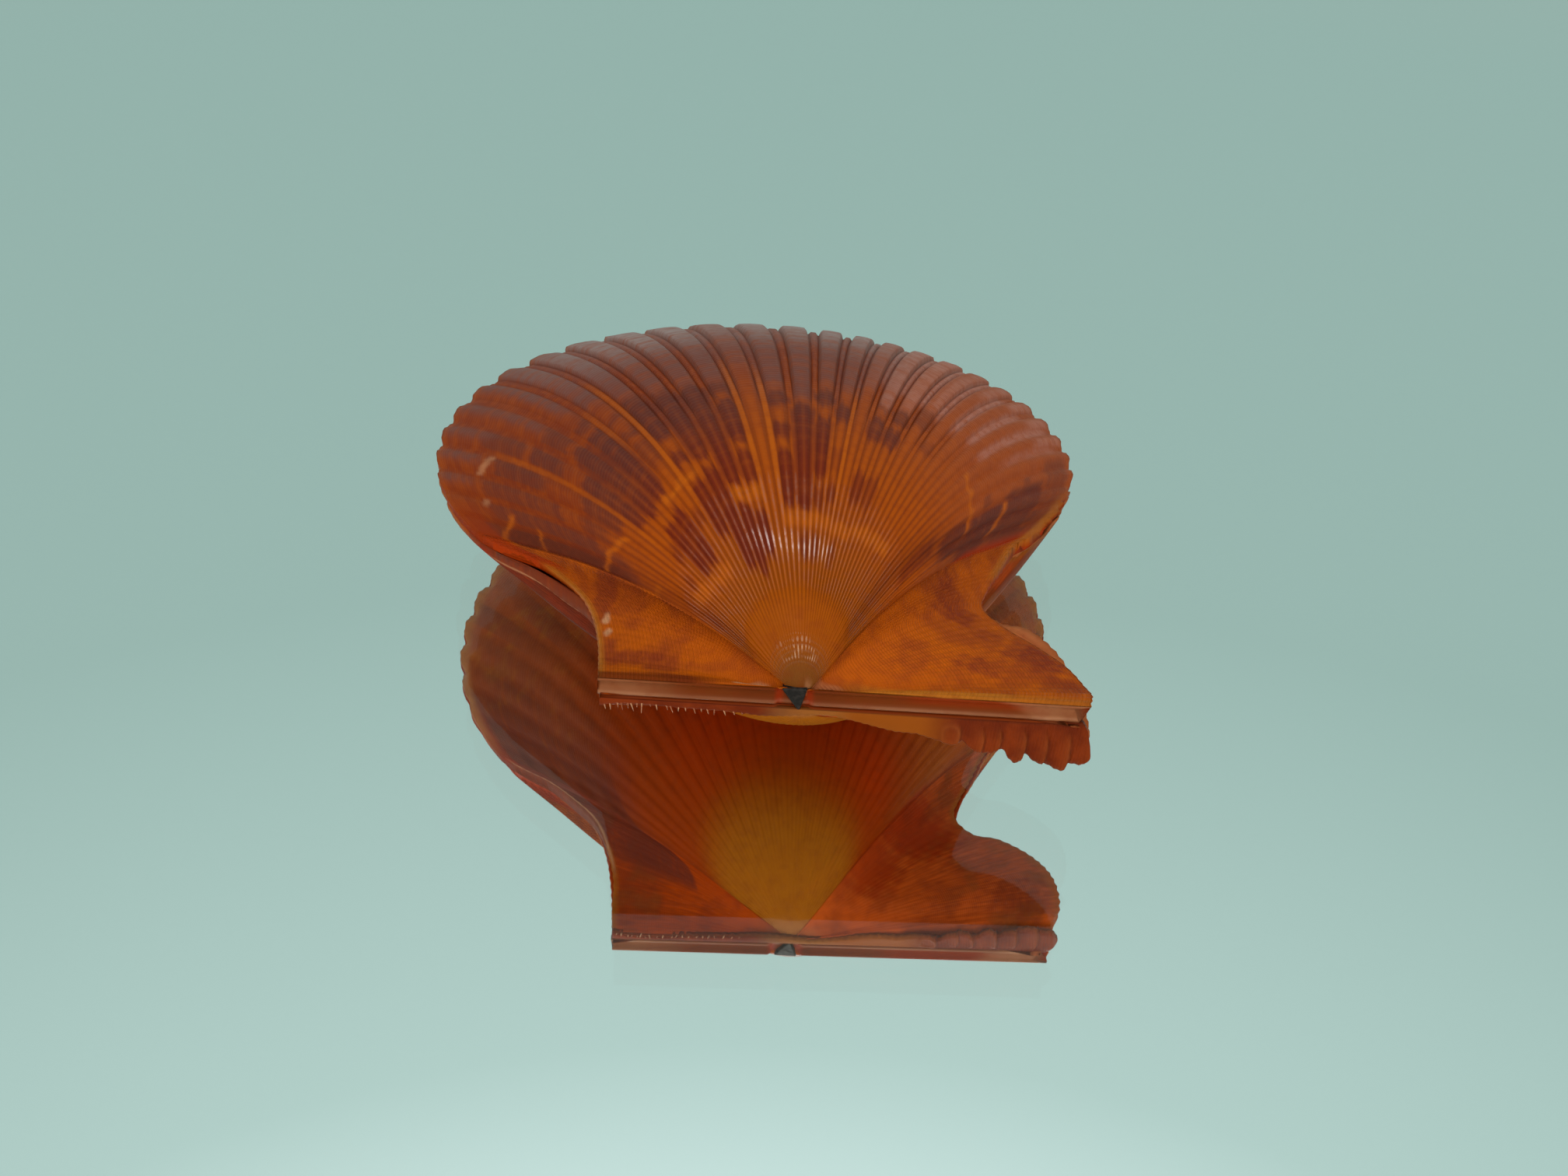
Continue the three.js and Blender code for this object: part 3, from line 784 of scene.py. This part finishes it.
# colours of both valves, as linear light
OCHRE = (.255, .055, .001)
ORANGE = (.29, .053, .002)
EAR = (.37, .072, .0025)
RUST = (.16, .023, .0048)
ROSE = (.245, .046, .009)
WINE_OUT = (.083, .018, .0135)
WINE_IN = (.125, .014, .005)
# mauve shell greyed by a painted grazing reflection, for the far ribs' outer part
MAUVE_FAR_SHEEN = (.27, .205, .2)
MAUVE_IN = (.125, .04, .032)
MAUVE_RIGHT = (.34, .135, .1)
PURPLE = (.15, .021, .0085)
RED = (.3, .02, .001)
PALE = (.42, .2, .1)
YELLOW = (.36, .12, .012)
# bright orange of the gold riblets and lines, also a painted highlight on the fine ridges near the beak
BRIGHT = (.4, .088, .003)
SHADE = (.07, .009, .002)
BAND = (.135, .028, .004)
BEAK_DULL = (.115, .045, .009)
# painted highlight of the small bars on the beak
GLINT = (.62, .4, .26)
UMBO = (.33, .1, .004)
AMBER = (.27, .038, .0008)
UNDER = (.46, .04, .0008)
UNDER_SIDE = (.42, .11, .014)
UNDER_FAR = (.32, .062, .013)
UNDER_REAR = (.44, .052, .001)
UNDER_FRONT = (.58, .09, .01)


def valve_material(name, right):
    """Worn glossy shell: coloured by growth stage and rib, with growth lines and fine beads as relief."""
    # Besides the shell's own colours it paints shade in the grooves and valleys and highlights on the beak
    # and fine ridges.
    made, wire = material_tree(name)
    rib = wire.mark("rib")
    stage = wire.mark("stage")
    ear = wire.mark("ear")
    wine = wire.mark("wine")
    away = (rib.math("FRACT") - 0.5).math("ABSOLUTE")
    cloud = wire.noise(90, 4)
    patch = wire.noise(260, 3)
    fine = wire.noise(900, 3)
    bars = wire.node("ShaderNodeCombineXYZ", (), {
        0: (rib + 0.02).math("FLOOR") * 5.7, 1: stage * 55, 2: away * 1.2})
    bars = wire.noise(1, 2, bars)
    zone = stage + (cloud - 0.5) * 0.04
    lines = (stage + (cloud - 0.5) * 0.006).wave(130)
    on_disc = rib.step(-0.2, 0.3) * rib.step(RIBS + 0.2, RIBS - 0.3)
    far = rib.step(5, 9) * rib.step(24, 19)
    top = away.step(0.37, 0.31) * on_disc
    if right:
        streaks = wire.node("ShaderNodeCombineXYZ", (), {0: rib * 3.1, 1: stage * 7, 2: 0})
        streaks = wire.noise(1, 3, streaks)
        colour = zone.step(0.15, 0.27).over(UMBO, AMBER)
        coats = [
            (zone.step(0.2, 0.34) * rib.step(4, 11) * rib.step(29, 23), UNDER),
            (ear * 0.9, rib.step(14, 16).over(UNDER_REAR, UNDER_FRONT)),
            (zone.step(0.3, 0.5) * rib.step(17, 26) * 0.65 * on_disc, UNDER_SIDE),
            (streaks.step(0.62, 0.4) * 0.4 * zone.step(0.3, 0.5), RUST),
            (zone.step(0.5, 0.7) * 0.75 * on_disc, UNDER_FAR),
            (patch.step(0.5, 0.7) * 0.4 * zone.step(0.5, 0.75), YELLOW)]
    else:
        outer = (rib + (cloud - 0.5) * 4).step(15, 22).over(RUST, ROSE)
        outer_share = zone.step(0.3, 0.62) * (bars.step(0.7, 0.35) * 0.35 + 0.6)
        colour = zone.step(0.14, 0.3).over(OCHRE, ORANGE)
        coats = [(stage.step(0.09, 0.03) * 0.75, BEAK_DULL), (ear, EAR), (outer_share * on_disc, outer)]
    mottle = (bars.step(0.3, 0.6) * 0.3 + 0.6) * (cloud.step(0.3, 0.5) * 0.4 + 0.6)
    wine_tone = zone.step(0.3, 0.5).over(WINE_IN, WINE_OUT)
    # far out on the far ribs the mauve turns grey: mauve shell with a painted reflection over it
    mauve_tone = (zone.step(0.62, 0.9) * rib.step(6, 11)).over(MAUVE_IN, MAUVE_FAR_SHEEN)
    mauve_tone = rib.step(16, 20).over(mauve_tone, MAUVE_RIGHT)
    # groove: a painted shade in the grooves between the far ribs
    groove = away.step(0.3, 0.35) * away.step(0.41, 0.37) * on_disc * zone.step(0.3, 0.5) * far
    threads = rib.wave(2, 0.5 * math.pi) * 0.5 + 0.5
    inner_part = stage.step(0.08, 0.16) * stage.step(0.6, 0.35) * on_disc
    coats += [
        (ear * patch.step(0.42, 0.68) * 0.45, PURPLE),
        (wire.mark("purple") * mottle, PURPLE),
        (wine * (bars.step(0.75, 0.45) * 0.25 + 0.72), wine_tone),
        (wire.mark("mauve") * (bars.step(0.7, 0.4) * 0.5 + 0.45), mauve_tone),
        (wire.mark("band"), BAND),
        (stage.step(0.97, 1) * 0.6 * (1 - wine), ORANGE),
        (wire.mark("red") * 0.9, RED),
        (wire.mark("gold") * 0.75, BRIGHT),
        (groove * (0.2 if right else 0.55), SHADE),
        # painted shade in the fine grooves and a painted highlight on the fine ridges near the beak
        (inner_part * threads.step(0.5, 0.05) * (0.1 if right else 0.32), SHADE),
        (inner_part * threads.step(0.6, 1) * (0 if right else 0.14), BRIGHT),
        # painted shade in the valleys between the disc and the ears
        (wire.mark("valley") * 0.4, SHADE),
        (wire.mark("yellow") * 0.8, YELLOW),
        # dim: on the hinge band a painted shade, elsewhere darker patches on the flanks and ears
        (wire.mark("dim") * 0.75, SHADE),
        (wire.mark("pale") * (cloud.step(0.3, 0.6) * 0.3 + 0.7), PALE),
        (fine.step(0.4, 0.75) * 0.25, RUST),
        ((lines * 0.5 + 0.5) * top * zone.step(0.3, 0.6) * 0.05, PALE)]
    relief = lines * zone.step(0.3, 0.6) * 0.008 + fine * 0.03 + cloud * 0.05
    gloss = 0
    if not right:
        # rows of small bright bars on the beak, painted highlights, and the glossy ridges beyond them
        rows = stage.step(0.051, 0.055) * stage.step(0.07, 0.066)
        rows = rows + stage.step(0.071, 0.073) * stage.step(0.08, 0.077) * 0.6
        rows = rows * rib.step(7, 11) * rib.step(21, 18) * rib.wave(1).step(0.1, 0.9)
        coats.append((rows * fine.step(0.35, 0.6) * 0.6, GLINT))
        ridges = threads * on_disc * stage.step(0.11, 0.15) * stage.step(0.36, 0.28)
        beak = (stage.wave(150) * 0.5 + 0.5) * stage.step(0.03, 0.05) * stage.step(0.1, 0.07)
        beak = beak * on_disc * threads
        relief = relief + stage.wave(80) * ear * 0.03 + ridges * 0.09 + beak * 0.012
        gloss = ridges.step(0.6, 0.95) * (fine.step(0.4, 0.6) * 0.6 + 0.35) + beak.step(0.4, 0.9) * 0.7
        gloss = wire.mark("gloss") * 0.5 + gloss
    for mask, cover in coats:
        colour = mask.over(colour, cover)
    rough = zone.step(0.1, 0.8) * 0.15 + 0.32 + (fine - 0.5) * 0.15
    wire.paint({
        "Base Color": colour, "Roughness": rough, "Normal": relief.bump(), "Specular IOR Level": 0.035,
        "Coat Weight": gloss, "Coat Roughness": 0.14})
    return made


carve_ribs(left, valve_material("upper_shell", False), {
    "height": 0.95, "rib top": 0.27, "rib foot": 0.36, "riblet half": 0.12, "riblet height": 0.5, "crisp": 1,
    "ear riblets": 0.11})
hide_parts("left_valve")
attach(left, "root")


# Right valve, the lower one, which the shell rests on. Its ribs lie in the left valve's grooves, and its
# front ear folds down over the notch where the byssus came out.
REAR_RIGHT = [
    (-21.4, -0.5), (-22, 4.5), (-22.3, 8.5), (-23.5, 12.6), (-25.3, 16.2), (-28.8, 19.8), (-33.6, 24.4)]
FRONT_RIGHT = [
    (29.3, -0.8), (30.8, 0.6), (31.5, 3), (31.4, 6.4), (30.4, 10), (28.2, 13.6), (25, 16.2), (22.2, 16.9),
    (19.9, 20), (21.3, 23.6), (24.2, 27.6)]
COIL_RIGHT = (0.612, 0.4, 1.25, 0.5, -0.1)
right, right_points, right_facts = grow_valve(
    "lower_valve", REAR_RIGHT, FRONT_RIGHT, COIL_RIGHT, True, 0.5,
    [(0.06, 0.18), (0.2, 0.28), (0.45, 0.3), (0.7, 0.24), (0.9, 0.1), (1, -0.3)])
u, s, q = right_facts.T
x, y, z = right_points.T
# the rib coordinate is shifted by half, because this valve's ribs lie where the other's riblets are
shifted = np.where((q >= -1.5) & (u >= 0) & (u <= RIBS), u + 0.5, u)
right.data.attributes["rib"].data.foreach_set("value", shifted.astype(np.float32))
skin_side = q >= 0
on_disc = skin_side & (shifted > 0) & (shifted < RIBS + 0.5)
on_ear = skin_side & ((u < 0) | (u > RIBS))
on_band = q <= -3
down = on_band * (-3 - q)
beat = 0.5 + 0.5 * np.sin(shifted.astype(int) * 2.4 + s * 9)
flank_rear = on_disc * band_of(u, 4.5, 0.8, 0.8) * band_of(s, 0.93, 0.45, 0.05)
low_flank = on_disc * soft(u, 1.6, 0.4) * band_of(s, 0.9, 0.5, 0.04) * (0.5 + 0.5 * np.sin(s * 60))
front_flank = skin_side * band_of(q, 2.33, 1.93, 0.05) * soft(s, 0.7, 0.8)
shoulder = skin_side * band_of(q, 1.1, 0.35, 0.05) * soft(s, 0.49, 0.51)
shoulder = np.where((q == -1) & (x < -21) & (y < 29), 1, shoulder)
notch = skin_side * soft(u, 28, 29.5) * blob(x, y, [(14, 15, 6.5, 4.5, 1), (9, 9, 4, 4, 0.8)])
wine = on_disc * 0.45 * on_rib(shifted % 1, 0.5) * soft(s, 0.62, 0.75) * beat
wine = most(wine, 0.2 * flank_rear, 0.8 * shoulder)
purple = on_ear * blob(x, y, [(-19, 8, 3, 7, 0.4), (27, 5, 4, 4, 0.7), (24, 10, 5, 2.5, 0.4)])
red = most(on_disc * 0.25 * band_of(s, 0.5, 0.25, 0.08), 0.9 * notch,
           skin_side * 0.8 * band_of(q, 1.06, 0.95, 0.02) * soft(s, 0.94, 0.97))
yellow = (skin_side * 0.7 * soft(s, 0.955, 0.985) * (1 - band_of(q, 1.02, 0.4, 0.03))
          * (1 - 0.6 * soft(q, 2.3, 2.4)))
pale = most(
    ((q == -1) & (x > -12)) * 0.3,
    skin_side * 0.3 * soft(x, -4, -2) * soft(x, 4, 2) * soft(y, 1.5, 0.6),
    on_disc * 0.2 * band_of(u, 9, 0.5, 1) * soft(s, 0.95, 0.99),
    skin_side * 0.9 * band_of(q, 0.96, 0.3, 0.05) * band_of(s, 0.997, 0.98, 0.004))
# painted shade in the valleys where the disc meets the ears
valley = skin_side * (bell(q, 1, 0.03) * 0.6 + bell(q, 2, 0.03) * 0.5)
# on the hinge band, dim is a painted shade towards the seam with the upper valve
put_marks(right, skin_side * -0.15, {
    "wine": wine, "mauve": 0.3 * flank_rear, "valley": valley, "purple": purple, "pale": pale,
    "red": np.where(on_band, 0.2, red), "yellow": yellow, "band": on_band, "ear": on_ear,
    "dim": np.where(on_band, 0.7 * soft(down, 0.8, 0.97), most(0.8 * low_flank, 0.55 * front_flank))})
carve_ribs(right, valve_material("lower_shell", True), {
    "height": 0.5, "rib top": 0.2, "rib foot": 0.38, "riblet half": 0.05, "riblet height": 0.2, "crisp": 0.2,
    "ear riblets": 0.05})
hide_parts("right_valve")
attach(right, "root")


# Fold of the lower valve's hinge margin. It hangs over the hinge line as a narrow lip behind the beak and
# widens before it, where each halt in growth left an overlapping rounded scale. It is worn rusty shell.
FOLD_LOW = [  # its lower outline in own x and z
    (-21.4, -1.8), (-19.6, -1.4), (-17.5, -1.25), (-15.4, -1.3), (-13.3, -1.5), (-9, -1.6), (-6.9, -1.7),
    (-4.5, -1.9), (-2.5, -1.8), (-0.1, -1.5), (2, -1.3), (3.5, -1.35), (6, -1.9), (8, -2.4), (10, -2.8),
    (12.4, -2.8), (14.1, -3.3), (15.9, -3.7), (16.8, -3.5), (17.2, -3.1), (17.5, -3.4), (18.2, -4.1),
    (19.3, -4.6), (20.4, -4.5), (21.2, -4), (21.5, -3.9), (21.9, -4.2), (22.3, -5), (22.9, -5.5),
    (23.3, -5.4), (23.8, -4.9), (24, -4.3), (24.4, -4.6), (25, -5.2), (26.5, -5.6), (27.3, -6),
    (28, -6.2), (28.5, -5.9), (28.8, -5.3), (30, -5.4), (30.5, -5.2)]
SCALES = [  # own x of each scale's free edge, and how far it stands off
    (14.6, 0), (17, 0.22), (19.6, 0.3), (21.4, 0.32), (24.1, 0.5), (26.4, 0.42), (28.8, 0.5), (31.6, 0.35)]
ROUND_SCALE = (15.95, -2.45, 0.9, 1.1)  # own x and z, half width and half height
FOLD_TOP = -0.62
FOLD_END = 29.4
FOLD_ROWS = 28
FOLD_RUST = (.178, .026, .0033)
FOLD_DARK = (.115, .015, .0024)
FOLD_YELLOW = (.25, .066, .004)
FOLD_WORN = (.24, .12, .035)
# paler shell at the scales' free edges together with a painted highlight along them
FOLD_EDGE_AND_GLINT = (.26, .065, .014)
# painted shade in the creases under each overlapping scale
FOLD_CREASE_SHADE = (.09, .014, .003)
# painted shade in the seam between the fold and the hinge band
FOLD_SEAM_SHADE = (.07, .012, .003)

line = np.r_[np.arange(-21.4, 3, 0.2), np.arange(3, FOLD_END, 0.09)]
d = np.linspace(0, 1, FOLD_ROWS)[:, None]
lean = np.interp(d, [0, 0.02, 0.17, 0.48, 0.74, 0.83, 1], [0.3, 0.5, 1, 1.4, 1.6, 1.6, 1.1])
x = line + lean * soft(line, 25.5, FOLD_END)
low = np.interp(x[-1], *np.array(FOLD_LOW).T)
low = low + 0.05 * np.sin(x[-1] * 7.3) + 0.1 * np.abs(np.sin(x[-1] * 3.1)) * soft(x[-1], -3, -6)
z = ease(d, FOLD_TOP + 0.25 * soft(x[-1], 25, 28), low)
stand = 0 * x
free = 0 * x
crease = 0 * x
bowed = x + 0.45 * (1.8 * (d - 0.6)) ** 2
for (edge_before, _), (edge, off) in zip(SCALES, SCALES[1:]):
    t = np.clip((bowed - edge_before) / (edge - edge_before), 0, 1) * (bowed < edge)
    crease = crease + soft(t, 0.16, 0) * (t > 0) * (off > 0.25)
    stand = stand + off * t ** 1.4 * soft(t, 1, 0.93)
    free = free + t ** 5 * soft(t, 1, 0.97)
ring_x, ring_z, ring_wide, ring_high = ROUND_SCALE
ring = (np.abs((x - ring_x) / ring_wide) ** 2.6 + np.abs((z - ring_z) / ring_high) ** 2.6) ** (1 / 2.6)
stand = stand * soft(d, 0, 0.4) + 0.16 * bell(ring, 1, 0.28)
free = free * soft(d, 0.1, 0.5) + 0.5 * bell(ring, 1, 0.25) + 0.7 * soft(d, 0.94, 1)
crease = np.clip(crease * soft(d, 0.15, 0.5), 0, 1)
roll = np.sin(np.pi * np.clip(d, 0, 1)) ** 0.7
y = -(0.3 + 0.12 * roll + 0.72 * soft(x, 3, 20) * d ** 0.9 + stand)
y = y + 0.18 * soft(d, 0.9, 1)
back = y + ease(d, 0.9, 0.5)
rows, cols = x.shape
grid = np.arange(rows * cols).reshape(rows, cols)
faces = quads(grid) + quads(grid[:, ::-1] + rows * cols)
rim = np.r_[grid[0, :-1], grid[:-1, -1], grid[-1, :0:-1], grid[:0:-1, 0]]
for n, m in zip(rim, np.roll(rim, -1)):
    faces.append([int(n), int(m), int(m) + rows * cols, int(n) + rows * cols])
spots = np.concatenate([np.stack([x, side, z], -1).reshape(-1, 3) for side in (y, back)])
mesh = bpy.data.meshes.new("hinge_fold")
mesh.from_pydata(lay_down(spots), [], faces)
facts = {"free": np.clip(free, 0, 1), "crease": crease, "along": x, "drop": d + 0 * x}
store(mesh, {name: np.tile(values.ravel(), 2) for name, values in facts.items()})
face_out(mesh)
rust, wire = material_tree("fold_rust")
along = wire.mark("along")
drop = wire.mark("drop")
cloud = wire.noise(350, 4)
growth = wire.noise(1200, 2)
colour = cloud.step(0.35, 0.65).over(FOLD_RUST, FOLD_DARK)
for mask, cover in (
        (along.step(-3, 1) * along.step(17, 12) * 0.85, FOLD_YELLOW),
        (along.step(-5, -2) * along.step(6, 3) * 0.35, FOLD_WORN),
        # paler free edges of the scales, partly a painted highlight
        (wire.mark("free") * 0.5, FOLD_EDGE_AND_GLINT),
        # painted shade in the creases where each scale overlaps the next
        (wire.mark("crease") * 0.7, FOLD_CREASE_SHADE),
        # painted shade along the fold's top, in the seam with the band
        (drop.step(0.08, 0) * 0.5, FOLD_SEAM_SHADE)):
    colour = mask.over(colour, cover)
relief = growth * 0.05 + cloud * 0.1 + (along * 1 + drop * 0.4).wave(3) * 0.02 * along.step(14, 18)
wire.paint({
    "Base Color": colour, "Roughness": cloud * 0.2 + 0.3, "Normal": relief.bump(),
    "Specular IOR Level": 0.05})
mesh.materials.append(rust)
fold = add_object("hinge_fold", mesh)
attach(fold, "root")


# Spines of the lower valve: a row of tiny glassy points of clear shell under the rear part of the fold,
# instanced on points along its lower edge.
SPINES = [  # own x and length
    (-20.9, .6), (-20.3, .8), (-19.5, .7), (-19.1, .9), (-18.4, .7), (-18.1, 1.2), (-17.4, .6),
    (-16.9, 1.2), (-16.1, .5), (-15.4, .8), (-14.3, .6), (-13.9, .9), (-13, .6), (-12.3, .5),
    (-11.4, .7), (-10.6, .5), (-10, .7), (-9.2, .7), (-8.2, .7), (-7.2, .5), (-6.3, .4)]
SPINE_RADIUS = .11
SPINE_CLEAR = (.24, .06, .015)
SPINE_WHITE = (.4, .2, .1)


def set_out(name, sort, spots, turns, sizes, material):
    """Instances one small shape on points, turned and sized for each, then made real."""
    mesh = bpy.data.meshes.new(name)
    mesh.from_pydata(lay_down(spots), [], [])
    store(mesh, {"turn": turns, "size": sizes * MM})
    piece = add_object(name, mesh)
    start, given, ids = geometry_tree(name, {"growth": 1})
    turn = start.fact("turn", "FLOAT_VECTOR")
    size = start.node("ShaderNodeVectorMath", {"operation": "SCALE"}, {
        0: start.fact("size", "FLOAT_VECTOR"), "Scale": given["growth"]})
    shape = start.node("GeometryNodeObjectInfo", (), {"Object": sort}, output="Geometry")
    placed = start.node("GeometryNodeInstanceOnPoints", (), {
        "Points": given["Geometry"], "Instance": shape, "Rotation": turn, "Scale": size})
    finish_piece(piece, start, placed, {"growth": 1}, ids, material)
    bpy.data.objects.remove(sort)
    return piece


glass, wire = material_tree("spine_pale")
cloud = wire.noise(800, 2)
wire.paint({
    "Base Color": cloud.step(0.35, 0.65).over(SPINE_CLEAR, SPINE_WHITE), "Roughness": cloud * 0.1 + 0.2,
    "Specular IOR Level": 0.4})
thorn = bpy.data.meshes.new("thorn")
form = bmesh.new()
bmesh.ops.create_cone(form, cap_ends=True, segments=7, radius1=1, radius2=0.25, depth=1,
                      matrix=Matrix.Translation((0, 0, 0.5)))
form.to_mesh(thorn)
form.free()
face_out(thorn)
rng = np.random.default_rng(11)
xs, long = np.array(SPINES).T
wide = SPINE_RADIUS + 0 * long
spots = np.stack([xs, np.full_like(xs, -0.3), np.interp(xs, *np.array(FOLD_LOW).T) + 0.3], -1)
turns = np.stack([rng.uniform(2.7, 3, len(xs)), rng.uniform(-0.4, 0.1, len(xs)), np.zeros(len(xs))], -1)
sizes = np.stack([wide, wide, long], -1)
spines = set_out("rear_spines", add_object("thorn", thorn), spots, turns, sizes, glass)
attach(spines, "root")


# Ligament: the black elastic pad between the beaks, a resilient protein block that springs the valves
# open. It fills a small triangular pit in the hinge, and is a bevelled wedge with a finely layered face.
PAD_SEEN = [(-2.2, 1.85), (0.5, 2), (-0.25, -1.05)]  # its corners in own x and z
PAD_PROUD = -0.34
PAD_EDGE = 0.2
PAD_BLACK = (.006, .006, .006)
PAD_GREY = (.02, .017, .016)
pad_mesh = bpy.data.meshes.new("elastic_pad")
form = bmesh.new()
ends = [[form.verts.new(lay_down((x, depth, z))) for x, z in PAD_SEEN] for depth in (PAD_PROUD, PAD_BACK)]
form.faces.new(ends[0])
form.faces.new(ends[1][::-1])
for n in range(3):
    form.faces.new([ends[0][n], ends[0][(n + 1) % 3], ends[1][(n + 1) % 3], ends[1][n]])
bmesh.ops.recalc_face_normals(form, faces=form.faces)
bmesh.ops.bevel(form, geom=form.edges[:], offset=PAD_EDGE * MM, segments=3, affect="EDGES", profile=0.6)
bmesh.ops.triangulate(form, faces=form.faces[:])
bmesh.ops.subdivide_edges(form, edges=form.edges[:], cuts=2, use_grid_fill=True)
for face in form.faces:
    face.smooth = True
form.to_mesh(pad_mesh)
form.free()
horn, wire = material_tree("elastic_pad")
layers = wire.noise(1500, 3)
wire.paint({
    "Base Color": layers.step(0.45, 0.7).over(PAD_BLACK, PAD_GREY), "Roughness": layers * 0.2 + 0.25,
    "Normal": (layers * 0.12).bump(), "Specular IOR Level": 0.12})
pad_mesh.materials.append(horn)
pad = add_object("elastic_pad", pad_mesh)
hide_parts("ligament")
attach(pad, "root")
